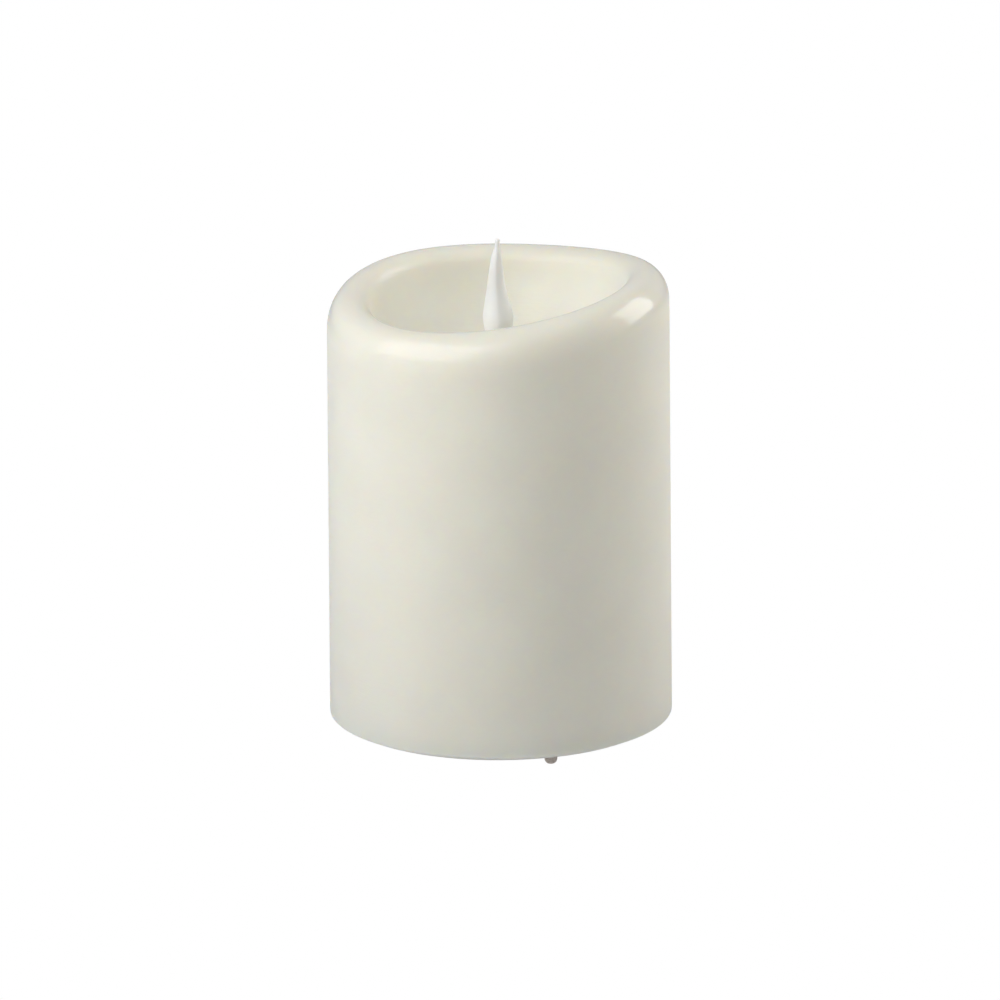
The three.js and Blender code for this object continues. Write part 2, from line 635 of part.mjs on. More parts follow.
function circuitBoard() {
  const corners = [[-19.6, -17.9], [-19.6, -23], [-12.5, -28.2], [12.5, -28.2], [19.6, -23], [19.6, -17.9]];
  const shape = new THREE.Shape(corners.map(([x, y]) => new THREE.Vector2(x, y)));
  const slab = new THREE.ExtrudeGeometry(shape, { depth: BOARD_TOP - BOARD_BOTTOM, bevelEnabled: false });
  slab.translate(0, 0, BOARD_BOTTOM);
  const holes = boardBosses.map(([x, y]) => post(SCREW_R + GAP, x, y, BOARD_BOTTOM - 1, BOARD_TOP + 1, 12));
  return cut(slab, ...holes);
}

function chip(x, y) {
  const body = block(x - 2.45, x + 2.45, y - 1.6, y + 1.6, ON_BOARD + 0.15, ON_BOARD + 1.6);
  const legs = [];
  for (let i = 0; i < 4; i += 1) {
    const legX = x + (i - 1.5) * 1.27;
    legs.push(block(legX - 0.2, legX + 0.2, y - 2.5, y + 2.5, ON_BOARD, ON_BOARD + 0.5));
  }
  return join(body, ...legs);
}

// a part with a round body that lies along X on two bent leads
function lyingPart(x, y, bodyR, bodyL, leadX) {
  const bodyZ = ON_BOARD + bodyR + 0.2;
  const body = new THREE.CylinderGeometry(bodyR, bodyR, bodyL, 12).rotateZ(Math.PI / 2);
  body.translate(x, y, bodyZ);
  const bar = block(x - leadX, x + leadX, y - 0.25, y + 0.25, bodyZ - 0.25, bodyZ + 0.25);
  const legs = [-1, 1].map((side) => {
    const end = x + side * leadX;
    return block(end - 0.25, end + 0.25, y - 0.25, y + 0.25, ON_BOARD, bodyZ + 0.25);
  });
  return join(body, bar, ...legs);
}

function capacitor(x, y) {
  const [canR, top] = [2.5, ON_BOARD + 7];
  const outline = [[0, ON_BOARD], [canR, ON_BOARD], [canR, ON_BOARD + 0.8], [canR - 0.25, ON_BOARD + 1.1]];
  outline.push([canR, ON_BOARD + 1.4], [canR, top - 0.4], [canR - 0.4, top], [0, top]);
  return turned(outline, 16).translate(x, y, 0);
}

// a small moulded transistor with one flat side, on three short legs
function transistor(x, y) {
  const bodyBottom = ON_BOARD + 1.2;
  const can = post(2.3, x, y, bodyBottom, bodyBottom + 4.4, 16);
  const body = common(can, block(x - 3, x + 3, y - 1.3, y + 3, bodyBottom, bodyBottom + 4.4));
  const legs = [-1, 0, 1].map((i) => {
    const legX = x + i * 1.27;
    return block(legX - 0.22, legX + 0.22, y - 0.22, y + 0.22, ON_BOARD, bodyBottom + 0.5);
  });
  return join(body, ...legs);
}

place('circuit_board', circuitBoard(), LAMINATE);
place('controller_chip', chip(4.6, -22.6), BLACK);
place('timer_crystal', lyingPart(-1, -26.8, 1, 6, 3.8), TIN);
place('capacitor', capacitor(10.3, -24.9), NAVY);
place('transistor', transistor(-11, -25.6), BLACK);
place('resistor_1', lyingPart(-11.5, -19.4, 0.9, 4, 3.4), BEIGE);
place('resistor_2', lyingPart(1.5, -19.2, 0.9, 4, 3.4), BEIGE);

// ---------------------------------------------------------------- slide switch

function switchBody() {
  const [halfX, halfY] = [4.6, 2.2];
  const [bottom, top] = [FLANGE_TOP + GAP, BOARD_BOTTOM - SEAT];
  const body = block(-halfX, halfX, SWITCH_Y - halfY, SWITCH_Y + halfY, bottom, top);
  const slotX = 0.8 + SWITCH_TRAVEL + GAP;
  return cut(body, block(-slotX, slotX, SWITCH_Y - 1.1, SWITCH_Y + 1.1, bottom - 1, bottom + 2.2));
}

function switchKnob() {
  const [capBottom, capTop, stemTop] = [2.2, 4.1, 6.3];
  const cap = block(-1.8, 1.8, SWITCH_Y - 1.2, SWITCH_Y + 1.2, capBottom, capTop);
  const stem = block(-0.8, 0.8, SWITCH_Y - 0.8, SWITCH_Y + 0.8, capTop - 0.2, stemTop);
  const grooveTop = capBottom + 0.35;
  const grooves = [-1, 0, 1].map((x) => {
    return block(x - 0.2, x + 0.2, SWITCH_Y - 2, SWITCH_Y + 2, FLOOR_CUT, grooveTop);
  });
  return cut(join(cap, stem), ...grooves);
}

place('switch_body', switchBody(), STEEL);
place('switch_knob', switchKnob(), BLACK);

export default candle;
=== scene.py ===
import json
import math

import bmesh
import bpy
from mathutils import Matrix, Quaternion, Vector


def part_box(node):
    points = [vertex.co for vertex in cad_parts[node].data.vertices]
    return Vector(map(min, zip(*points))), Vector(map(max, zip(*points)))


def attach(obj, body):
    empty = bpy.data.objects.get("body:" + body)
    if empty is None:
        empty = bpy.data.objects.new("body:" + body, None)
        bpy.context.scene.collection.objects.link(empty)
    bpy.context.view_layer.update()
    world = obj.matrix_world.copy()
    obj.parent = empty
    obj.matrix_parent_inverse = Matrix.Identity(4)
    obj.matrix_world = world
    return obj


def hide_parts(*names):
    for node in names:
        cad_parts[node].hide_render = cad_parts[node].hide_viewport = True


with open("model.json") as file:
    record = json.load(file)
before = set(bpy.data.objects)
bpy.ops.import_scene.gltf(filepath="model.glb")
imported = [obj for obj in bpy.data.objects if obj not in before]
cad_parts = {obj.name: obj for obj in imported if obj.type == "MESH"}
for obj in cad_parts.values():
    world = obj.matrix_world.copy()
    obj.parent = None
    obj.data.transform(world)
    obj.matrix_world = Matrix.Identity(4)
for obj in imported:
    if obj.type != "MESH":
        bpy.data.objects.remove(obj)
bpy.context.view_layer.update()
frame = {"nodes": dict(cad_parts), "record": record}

MM = 0.001
NODES = frame["nodes"]

# ---------------------------------------------------------------- shape of the wax, as in the CAD (mm)

WAX_R = 37.5
WAX_BOTTOM = 2.7
WAX_EDGE = 0.5
CREST_R = 31.8
CREST_Z = 99.9
RIM_OUT_H = 7.3
LIP_ROUND = 4.0
DISH_SLOPE = 75.0
BOWL_FLOOR_R = 6.0
THROAT_R = 4.6
THROAT_LIP = 0.8
CAVITY_R = 32.8
CAVITY_TOP = 71.1
CAVITY_ROUND = 12.0
RABBET_R = 35.8
RABBET_TOP = 4.5
WAX_SIDES = 192
POLISH = 0.6  # weight of the clear gloss along the rim

STEEPEST = math.radians(DISH_SLOPE)
LIP_R = CREST_R - LIP_ROUND * math.sin(STEEPEST)
LIP_Z = CREST_Z - LIP_ROUND * (1 - math.cos(STEEPEST))
DISH_R = (LIP_R - BOWL_FLOOR_R) / math.sin(STEEPEST)
BOWL_FLOOR_Z = LIP_Z - DISH_R * (1 - math.cos(STEEPEST))

# ---------------------------------------------------------------- camera

CAMERA_ELEVATION = 16.94
CAMERA_ROLL = 0.42
CAMERA_LENS = 1500.0
SENSOR = 36.0
FRAME_WIDTH = 0.2191
AIM = Vector((0.0001, 0.0, 0.0506))


def make_camera():
    data = bpy.data.cameras.new("camera")
    data.lens = CAMERA_LENS
    data.sensor_width = SENSOR
    camera = bpy.data.objects.new("camera", data)
    bpy.context.scene.collection.objects.link(camera)
    elevation = math.radians(CAMERA_ELEVATION)
    back = Vector((0.0, -math.cos(elevation), math.sin(elevation)))
    distance = FRAME_WIDTH * CAMERA_LENS / SENSOR
    camera.location = AIM + back * distance
    camera.rotation_mode = "QUATERNION"
    roll = Quaternion((0, 0, 1), -math.radians(CAMERA_ROLL))
    camera.rotation_quaternion = (-back).to_track_quat("-Z", "Y") @ roll
    data.clip_start = 0.1
    data.clip_end = 20.0
    bpy.context.scene.camera = camera


make_camera()

# ---------------------------------------------------------------- mesh tools


def add_object(name, mesh):
    piece = bpy.data.objects.new(name, mesh)
    bpy.context.scene.collection.objects.link(piece)
    return piece


def arc(centre_r, centre_z, semi_r, semi_z, start, end, steps):
    """Points on an ellipse's arc in the (radius, height) plane; angles in degrees."""
    points = []
    for i in range(steps + 1):
        angle = math.radians(start + (end - start) * i / steps)
        points.append((centre_r + semi_r * math.cos(angle), centre_z + semi_z * math.sin(angle)))
    return points


def spline(points, per_span):
    """A Catmull-Rom curve through points in the (radius, height) plane."""
    ends = [points[0], *points, points[-1]]
    result = []
    for i in range(len(points) - 1):
        a, b, c, d = (Vector(p) for p in ends[i : i + 4])
        for step in range(per_span):
            t = step / per_span
            v0, v1 = (c - a) / 2, (d - b) / 2
            bend = (2 * b - 2 * c + v0 + v1) * t**3 + (-3 * b + 3 * c - 2 * v0 - v1) * t**2
            result.append(tuple(bend + v0 * t + b))
    result.append(tuple(points[-1]))
    return result


def lathe(bm, profile, sides, warp=None, looks=None):
    """Adds a closed solid of revolution about +Z from an outline in mm. The outline closes on itself, or
    starts and ends on the axis. warp(point, index) may move each vertex, and looks gives the material
    index of the faces that follow each point of the outline."""
    closed = profile[0][0] > 1e-6
    rings = []
    for index, point in enumerate(profile):
        r, z = point[0], point[1]
        turns = sides if r > 1e-6 else 1
        ring = []
        for side in range(turns):
            angle = 2 * math.pi * side / sides
            corner = Vector((r * math.cos(angle), r * math.sin(angle), z))
            ring.append(bm.verts.new(warp(corner, index) if warp else corner))
        rings.append(ring)
    count = len(rings)
    for i in range(count if closed else count - 1):
        low, high = rings[i], rings[(i + 1) % count]
        if len(low) == 1 and len(high) == 1:
            continue
        for side in range(sides):
            after = (side + 1) % sides
            if len(low) == 1:
                face = bm.faces.new((low[0], high[after], high[side]))
            elif len(high) == 1:
                face = bm.faces.new((low[side], low[after], high[0]))
            else:
                face = bm.faces.new((low[side], low[after], high[after], high[side]))
            face.material_index = looks[i] if looks else 0


def sweep(bm, path, radius, sides):
    """Adds a round bar along a list of points in mm, with flat ends."""
    normal = None
    rings = []
    for index, point in enumerate(path):
        along = (path[min(index + 1, len(path) - 1)] - path[max(index - 1, 0)]).normalized()
        if normal is None:
            normal = along.orthogonal().normalized()
        normal = (normal - along * normal.dot(along)).normalized()
        across = along.cross(normal)
        ring = []
        for side in range(sides):
            angle = 2 * math.pi * side / sides
            outwards = normal * math.cos(angle) + across * math.sin(angle)
            ring.append(bm.verts.new(point + outwards * radius))
        rings.append(ring)
    for low, high in zip(rings, rings[1:]):
        for side in range(sides):
            after = (side + 1) % sides
            bm.faces.new((low[side], low[after], high[after], high[side]))
    bm.faces.new(rings[0])
    bm.faces.new(rings[-1])


def slab(bm, x0, x1, y0, y1, z0, z1):
    """Adds a block given by its lowest and highest corners in mm."""
    place = Matrix.LocRotScale(
        Vector(((x0 + x1) / 2, (y0 + y1) / 2, (z0 + z1) / 2)), None, Vector((x1 - x0, y1 - y0, z1 - z0))
    )
    bmesh.ops.create_cube(bm, size=1.0, matrix=place)


def to_piece(name, bm, smooth_angle=35.0):
    """Turns a bmesh in mm into an object in metres, smooth but for its corners."""
    bmesh.ops.recalc_face_normals(bm, faces=bm.faces)
    bmesh.ops.scale(bm, vec=(MM, MM, MM), verts=bm.verts)
    mesh = bpy.data.meshes.new(name)
    bm.to_mesh(mesh)
    bm.free()
    mesh.shade_smooth()
    mesh.set_sharp_from_angle(angle=math.radians(smooth_angle))
    return add_object(name, mesh)


def turned(name, profile, sides, warp=None, smooth_angle=35.0, looks=None):
    bm = bmesh.new()
    lathe(bm, profile, sides, warp, looks)
    return to_piece(name, bm, smooth_angle)


def round_edges(piece, width, angle=30.0):
    bevel = piece.modifiers.new("edges", "BEVEL")
    bevel.width = width * MM
    bevel.segments = 2
    bevel.limit_method = "ANGLE"
    bevel.angle_limit = math.radians(angle)
    bevel.harden_normals = True
    return piece


def finish_piece(piece, body, slot, material, *replaced):
    for look in material if isinstance(material, tuple) else (material,):
        piece.data.materials.append(look)
    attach(piece, body)
    if replaced:
        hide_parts(*replaced)
    return piece


# ---------------------------------------------------------------- material tools


def new_material(name):
    material = bpy.data.materials.new(name)
    material.use_nodes = True
    tree = material.node_tree
    tree.nodes.clear()
    shader = tree.nodes.new("ShaderNodeBsdfPrincipled")
    output = tree.nodes.new("ShaderNodeOutputMaterial")
    tree.links.new(shader.outputs[0], output.inputs["Surface"])
    return material, tree, shader


def position(tree):
    return tree.nodes.new("ShaderNodeTexCoord").outputs["Object"]


def noise(tree, scale, detail=3.0, stretch=None, roughness=0.5):
    """Noise in object space; scale is in features per metre, and stretch squeezes it along the axes."""
    node = tree.nodes.new("ShaderNodeTexNoise")
    node.inputs["Scale"].default_value = scale
    node.inputs["Detail"].default_value = detail
    node.inputs["Roughness"].default_value = roughness
    place = position(tree)
    if stretch:
        mapping = tree.nodes.new("ShaderNodeMapping")
        mapping.inputs["Scale"].default_value = stretch
        tree.links.new(place, mapping.inputs["Vector"])
        place = mapping.outputs["Vector"]
    tree.links.new(place, node.inputs["Vector"])
    return node.outputs["Fac"]


def between(tree, value, low, high, start=0.35, end=0.65):
    """Maps a noise value from start..end to low..high."""
    node = tree.nodes.new("ShaderNodeMapRange")
    node.inputs["From Min"].default_value = start
    node.inputs["From Max"].default_value = end
    node.inputs["To Min"].default_value = low
    node.inputs["To Max"].default_value = high
    tree.links.new(value, node.inputs["Value"])
    return node.outputs["Result"]


def two_tones(tree, value, dark, light, start=0.35, end=0.65):
    node = tree.nodes.new("ShaderNodeValToRGB")
    node.color_ramp.elements[0].position = start
    node.color_ramp.elements[1].position = end
    node.color_ramp.elements[0].color = (*dark, 1)
    node.color_ramp.elements[1].color = (*light, 1)
    tree.links.new(value, node.inputs["Fac"])
    return node.outputs["Color"]


def bump(tree, shader, *layers):
    """Stacks bumps, each (height value, height in metres)."""
    normal = None
    for value, height in layers:
        node = tree.nodes.new("ShaderNodeBump")
        node.inputs["Strength"].default_value = 1.0
        node.inputs["Distance"].default_value = height
        tree.links.new(value, node.inputs["Height"])
        if normal:
            tree.links.new(normal, node.inputs["Normal"])
        normal = node.outputs["Normal"]
    tree.links.new(normal, shader.inputs["Normal"])


def scaled(colour, share):
    return tuple(min(1.0, c * share) for c in colour)


def moulded_plastic(name, colour, roughness=0.45, grain=2500.0, height=0.000012, variation=0.04):
    """Injection-moulded plastic: a fine spark-eroded grain, slight tone and gloss changes."""
    material, tree, shader = new_material(name)
    cloud = noise(tree, 60.0)
    tree.links.new(two_tones(tree, cloud, scaled(colour, 1 - variation), scaled(colour, 1 + variation)),
                   shader.inputs["Base Color"])
    tree.links.new(between(tree, noise(tree, 400.0), roughness - 0.05, roughness + 0.05),
                   shader.inputs["Roughness"])
    bump(tree, shader, (noise(tree, grain, detail=2.0), height))
    return material


def plated_metal(name, colour, roughness=0.3):
    """Plated steel or tin: fine drawing lines and slight stains."""
    material, tree, shader = new_material(name)
    shader.inputs["Metallic"].default_value = 1.0
    stain = noise(tree, 300.0)
    tree.links.new(two_tones(tree, stain, scaled(colour, 0.86), scaled(colour, 1.05)),
                   shader.inputs["Base Color"])
    tree.links.new(between(tree, noise(tree, 900.0), roughness - 0.08, roughness + 0.1),
                   shader.inputs["Roughness"])
    bump(tree, shader, (noise(tree, 4000.0, detail=2.0, stretch=(1, 0.1, 1)), 0.000004))
    return material


# ---------------------------------------------------------------- materials

WAX_COLOUR = (0.795, 0.777, 0.684)


def wax_material():
    material, tree, shader = new_material("ivory_wax")
    cloud = noise(tree, 55.0, detail=4.0)
    tree.links.new(two_tones(tree, cloud, scaled(WAX_COLOUR, 0.985), scaled(WAX_COLOUR, 1.015)),
                   shader.inputs["Base Color"])
    shader.inputs["Subsurface Weight"].default_value = 1.0
    shader.inputs["Subsurface Radius"].default_value = (1.0, 0.75, 0.45)
    shader.inputs["Subsurface Scale"].default_value = 0.004
    shader.inputs["IOR"].default_value = 1.44
    shader.inputs["Specular IOR Level"].default_value = 0.2
    tree.links.new(between(tree, noise(tree, 220.0, detail=4.0), 0.47, 0.53), shader.inputs["Roughness"])
    polish = tree.nodes.new("ShaderNodeAttribute")
    polish.attribute_name = "polish"
    tree.links.new(polish.outputs["Fac"], shader.inputs["Coat Weight"])
    shader.inputs["Coat Roughness"].default_value = 0.09
    bump(
        tree,
        shader,
        (noise(tree, 90.0, detail=2.0), 0.00006),
        (noise(tree, 300.0, detail=3.0, stretch=(1, 1, 8)), 0.00004),
    )
    return material


def flame_material():
    material, tree, shader = new_material("flame_white")
    colour = (0.855, 0.855, 0.84)
    cloud = noise(tree, 250.0)
    tree.links.new(two_tones(tree, cloud, scaled(colour, 0.985), scaled(colour, 1.01)),
                   shader.inputs["Base Color"])
    shader.inputs["Subsurface Weight"].default_value = 0.6
    shader.inputs["Subsurface Radius"].default_value = (1.0, 0.85, 0.7)
    shader.inputs["Subsurface Scale"].default_value = 0.0012
    tree.links.new(between(tree, noise(tree, 900.0), 0.42, 0.54), shader.inputs["Roughness"])
    bump(tree, shader, (noise(tree, 2500.0, detail=2.0), 0.000008))
    return material


def lens_material():
    material, tree, shader = new_material("led_epoxy")
    tree.links.new(two_tones(tree, noise(tree, 400.0), (0.9, 0.84, 0.62), (0.95, 0.9, 0.7)),
                   shader.inputs["Base Color"])
    shader.inputs["Transmission Weight"].default_value = 0.7
    shader.inputs["IOR"].default_value = 1.5
    tree.links.new(between(tree, noise(tree, 700.0), 0.08, 0.14), shader.inputs["Roughness"])
    return material


MATERIALS = {
    "wax": wax_material(),
    "flame": flame_material(),
    "lens": lens_material(),
    "housing": moulded_plastic("ivory_housing", (0.72, 0.7, 0.64)),
    "foot": moulded_plastic("taupe_rubber", (0.59, 0.525, 0.465), 0.7, 1800.0, 0.00002),
    "steel": plated_metal("zinc_plate", (0.72, 0.73, 0.74), 0.28),
    "contact": plated_metal("nickel_plate", (0.74, 0.72, 0.67), 0.25),
    "cell": moulded_plastic("cell_jacket", (0.05, 0.16, 0.24), 0.25, 900.0, 0.000004),
    "laminate": moulded_plastic("green_laminate", (0.03, 0.15, 0.07), 0.35, 1400.0, 0.00001, 0.12),
    "black_plastic": moulded_plastic("black_plastic", (0.012, 0.012, 0.013), 0.4),
    "resistor": moulded_plastic("resistor_lacquer", (0.55, 0.4, 0.22), 0.35),
    "capacitor": moulded_plastic("capacitor_sleeve", (0.02, 0.035, 0.1), 0.3),
    "red_wire": moulded_plastic("red_insulation", (0.45, 0.015, 0.012), 0.35),
    "black_wire": moulded_plastic("black_insulation", (0.01, 0.01, 0.011), 0.35),
}

CELL_BAND = moulded_plastic("cell_band", (0.5, 0.52, 0.53), 0.25, 900.0, 0.000004)

# ---------------------------------------------------------------- wax pillar


def rim_wave(angle):
    """Height of the rim above its mean, by the angle from +X."""
    once = 2.52 * math.cos(angle) + 0.36 * math.sin(angle)
    twice = 0.57 * math.cos(2 * angle) - 1.1 * math.sin(2 * angle)
    thrice = 0.16 * math.cos(3 * angle) + 0.14 * math.sin(3 * angle)
    return once + twice + thrice


def rim_tuck(angle):
    """How much shorter the rim's outer rounding is, by the same angle."""
    return 0.39 * math.cos(angle) + 0.84 * math.sin(angle)


def smooth_step(value, start, end):
    share = min(max((value - start) / (end - start), 0.0), 1.0)
    return share * share * (3 - 2 * share)


def wax_outline():
    """Points as (radius, height, lift, tuck, polish).

    Lift and tuck are the shares of the rim's wave and tuck that a point follows, and polish is its gloss.
    """
    outline = [(RABBET_R, WAX_BOTTOM, 0, 0, 0)]
    centre = WAX_R - WAX_EDGE
    for r, z in arc(centre, WAX_BOTTOM + WAX_EDGE, WAX_EDGE, WAX_EDGE, -90, 0, 5):
        outline.append((r, z, 0, 0, 0))
    low = WAX_BOTTOM + WAX_EDGE
    high = CREST_Z - RIM_OUT_H
    wall_steps = 24
    for i in range(1, wall_steps):
        share = i / wall_steps
        outline.append((WAX_R, low + (high - low) * share, share**3, share**3, 0))
    for r, z in arc(CREST_R, high, WAX_R - CREST_R, RIM_OUT_H, 0, 90, 18):
        height = (CREST_Z - z) / RIM_OUT_H
        outline.append((r, z, 1, height, POLISH * (1 - smooth_step(height, 0.55, 1.0))))
    for r, z in arc(CREST_R, CREST_Z - LIP_ROUND, LIP_ROUND, LIP_ROUND, 90, 90 + DISH_SLOPE, 12)[1:]:
        shine = POLISH * (1 - smooth_step(CREST_Z - z, 0.4, CREST_Z - LIP_Z))
        outline.append((r, z, 1, 0, shine))
    for r, z in arc(BOWL_FLOOR_R, BOWL_FLOOR_Z + DISH_R, DISH_R, DISH_R, DISH_SLOPE - 90, -90, 26)[1:]:
        outline.append((r, z, smooth_step(z, BOWL_FLOOR_Z, LIP_Z), 0, 0))
    for r, z in arc(THROAT_R + THROAT_LIP, BOWL_FLOOR_Z - THROAT_LIP, THROAT_LIP, THROAT_LIP, 90, 180, 5):
        outline.append((r, z, 0, 0, 0))
    outline.append((THROAT_R, CAVITY_TOP, 0, 0, 0))
    centre_r, centre_z = CAVITY_R - CAVITY_ROUND, CAVITY_TOP - CAVITY_ROUND
    for r, z in arc(centre_r, centre_z, CAVITY_ROUND, CAVITY_ROUND, 90, 0, 8):
        outline.append((r, z, 0, 0, 0))
    outline.append((CAVITY_R, RABBET_TOP, 0, 0, 0))
    outline.append((RABBET_R, RABBET_TOP, 0, 0, 0))
    return outline


def make_wax():
    outline = wax_outline()

    def warp(corner, index):
        lift, tuck = outline[index][2:4]
        angle = math.atan2(corner.y, corner.x)
        corner.z += lift * rim_wave(angle) + tuck * rim_tuck(angle)
        return corner

    piece = turned("wax_pillar", outline, WAX_SIDES, warp)
    polish = piece.data.attributes.new("polish", "FLOAT", "POINT")
    for point, entry in enumerate(outline):
        for side in range(WAX_SIDES):
            polish.data[point * WAX_SIDES + side].value = entry[4]
    return finish_piece(piece, "candle", "wax", MATERIALS["wax"], "wax_shell")


make_wax()

# ---------------------------------------------------------------- flame cap, LED and holder

FLAME_TOP = 110.35
FLAME_R = 3.35
FLAME_BELLY_Z = 92.6
FLAME_NECK_R = 2.5
FLAME_BOTTOM = 77.5
FLAME_FOOT_EDGE = 0.15
FLAME_TIP_R = 0.55
FLAME_BOW = 0.4
RIDGE_POWER = 1.7
RIDGE_START = 86.0
RIDGE_FULL = 90.0
RIDGE_FADE = 107.0
RIDGE_END = 109.0
POCKET_R = 1.8
POCKET_TOP = 87.7
LED_R = 1.5
LED_BOTTOM = 75.7
LED_TOP = 81.0
LED_FLANGE_R = 1.9
LED_FLANGE_TOP = 76.7
LED_FLANGE_EDGE = 0.1
LED_FILLET = 0.08
LED_FLAT_X = -1.72
HOLDER_R = THROAT_R - 0.3
HOLDER_TOP = BOWL_FLOOR_Z - 0.1
HOLDER_EDGE = 0.3
HOLDER_BORE_R = 2.8
HOLDER_BORE_EDGE = 0.2
HOLDER_SEAT_R = 2.2
HOLDER_LEG_R = 1.9
HOLDER_FLANGE_R = 9.0
HOLDER_FLANGE_H = 1.6
HOLDER_FLANGE_EDGE = 0.2
GAP = 0.3


def make_flame():
    """A drop with a soft ridge at the front, back and sides, bowed a little to the left."""
    outline = arc(0, POCKET_TOP - POCKET_R, POCKET_R, POCKET_R, 90, 0, 8)
    inside = len(outline) + 1
    outline += [(POCKET_R, FLAME_BOTTOM), (FLAME_NECK_R - FLAME_FOOT_EDGE, FLAME_BOTTOM)]
    outline.append((FLAME_NECK_R, FLAME_BOTTOM + FLAME_FOOT_EDGE))
    flank = [
        (FLAME_NECK_R, 80.5),
        (2.55, 84.5),
        (2.72, 88.4),
        (3.06, 89.9),
        (FLAME_R, FLAME_BELLY_Z),
        (2.76, 95.7),
        (2.04, 99.3),
        (1.6, 102.8),
        (1.12, 106.3),
        (0.62, 108.3),
        (FLAME_TIP_R, 109.0),
    ]
    outline += spline(flank, 6)
    outline += arc(0, FLAME_TOP - FLAME_TIP_R, FLAME_TIP_R, FLAME_TIP_R, 0, 90, 6)
    outline[0] = (0.0, outline[0][1])
    outline[-1] = (0.0, outline[-1][1])

    def warp(corner, index):
        if index >= inside:
            angle = math.atan2(corner.y, corner.x)
            power = RIDGE_POWER
            strength = smooth_step(corner.z, RIDGE_START, RIDGE_FULL)
            strength *= 1 - smooth_step(corner.z, RIDGE_FADE, RIDGE_END)
            ridged = (abs(math.cos(angle)) ** power + abs(math.sin(angle)) ** power) ** (-1 / power)
            corner.xy *= 1 + strength * (ridged - 1)
        rise = min(max((corner.z - FLAME_BELLY_Z) / (FLAME_TOP - FLAME_BELLY_Z), 0.0), 1.0)
        corner.x -= FLAME_BOW * math.sin(math.pi * rise)
        return corner

    piece = turned("flame_drop", outline, 96, warp)
    return finish_piece(piece, "candle", "flame", MATERIALS["flame"], "flame_cap")


def make_led():
    """A 3 mm LED: a domed lens on a flange with one flat side."""
    edge = LED_FLANGE_EDGE
    outline = [(0.0, LED_BOTTOM), (LED_FLANGE_R - edge, LED_BOTTOM), (LED_FLANGE_R, LED_BOTTOM + edge)]
    outline += [(LED_FLANGE_R, LED_FLANGE_TOP - edge), (LED_FLANGE_R - edge, LED_FLANGE_TOP)]
    outline += [(LED_R + LED_FILLET, LED_FLANGE_TOP), (LED_R, LED_FLANGE_TOP + LED_FILLET)]
    outline += arc(0, LED_TOP - LED_R, LED_R, LED_R, 0, 90, 12)
    outline[-1] = (0.0, LED_TOP)

    def warp(corner, index):
        corner.x = max(corner.x, LED_FLAT_X)
        return corner

    piece = turned("led_lens", outline, 64, warp)
    return finish_piece(piece, "candle", "lens", MATERIALS["lens"], "flame_led")


def make_holder():
    """The tubular socket that stands in the wax's throat, with its flange under the bowl."""
    high = CAVITY_TOP - GAP
    low = high - HOLDER_FLANGE_H
    edge, inset = HOLDER_FLANGE_EDGE, HOLDER_FLANGE_R - HOLDER_FLANGE_EDGE
    outline = [(HOLDER_LEG_R, low), (inset, low), (HOLDER_FLANGE_R, low + edge)]
    outline += [(HOLDER_FLANGE_R, high - edge), (inset, high)]
    outline += [(HOLDER_R + HOLDER_EDGE, high), (HOLDER_R, high + HOLDER_EDGE)]
    outline += arc(HOLDER_R - HOLDER_EDGE, HOLDER_TOP - HOLDER_EDGE, HOLDER_EDGE, HOLDER_EDGE, 0, 90, 5)
    round_in = HOLDER_BORE_EDGE
    outline += arc(HOLDER_BORE_R + round_in, HOLDER_TOP - round_in, round_in, round_in, 90, 180, 4)
    seat, step = LED_BOTTOM - GAP, FLAME_BOTTOM - GAP
    outline += [(HOLDER_BORE_R, step), (HOLDER_SEAT_R, step), (HOLDER_SEAT_R, seat), (HOLDER_LEG_R, seat)]
    piece = turned("led_socket", outline, 96)
    return finish_piece(piece, "candle", "housing", MATERIALS["housing"], "led_holder")


make_flame()
make_led()
make_holder()

# ---------------------------------------------------------------- feet

FOOT_R = 1.45
FOOT_FLAT_R = 0.5
FOOT_TOP = 3.0
FOOT_EDGE = 0.1


def make_foot(number):
    low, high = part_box(f"foot_{number}")
    centre = (low + high) / 2 / MM
    outline = [(0.0, 0.0)] + arc(FOOT_FLAT_R, FOOT_R, FOOT_R - FOOT_FLAT_R, FOOT_R, -90, 0, 10)
    outline += [(FOOT_R, FOOT_TOP - FOOT_EDGE), (FOOT_R - FOOT_EDGE, FOOT_TOP), (0.0, FOOT_TOP)]

    def warp(corner, index):
        return corner + Vector((centre.x, centre.y, 0))

    piece = turned(f"foot_pip_{number}", outline, 48, warp)
    return finish_piece(piece, "candle", "foot", MATERIALS["foot"], f"foot_{number}")


for number in (1, 2, 3):
    make_foot(number)

# ---------------------------------------------------------------- batteries

CELL_R = 7.1
CELL_L = 50.4
CELL_Y = 7.4
CELL_Z = 11.5
CELL_TIP_X = 26.0
BAND_START = 35.5


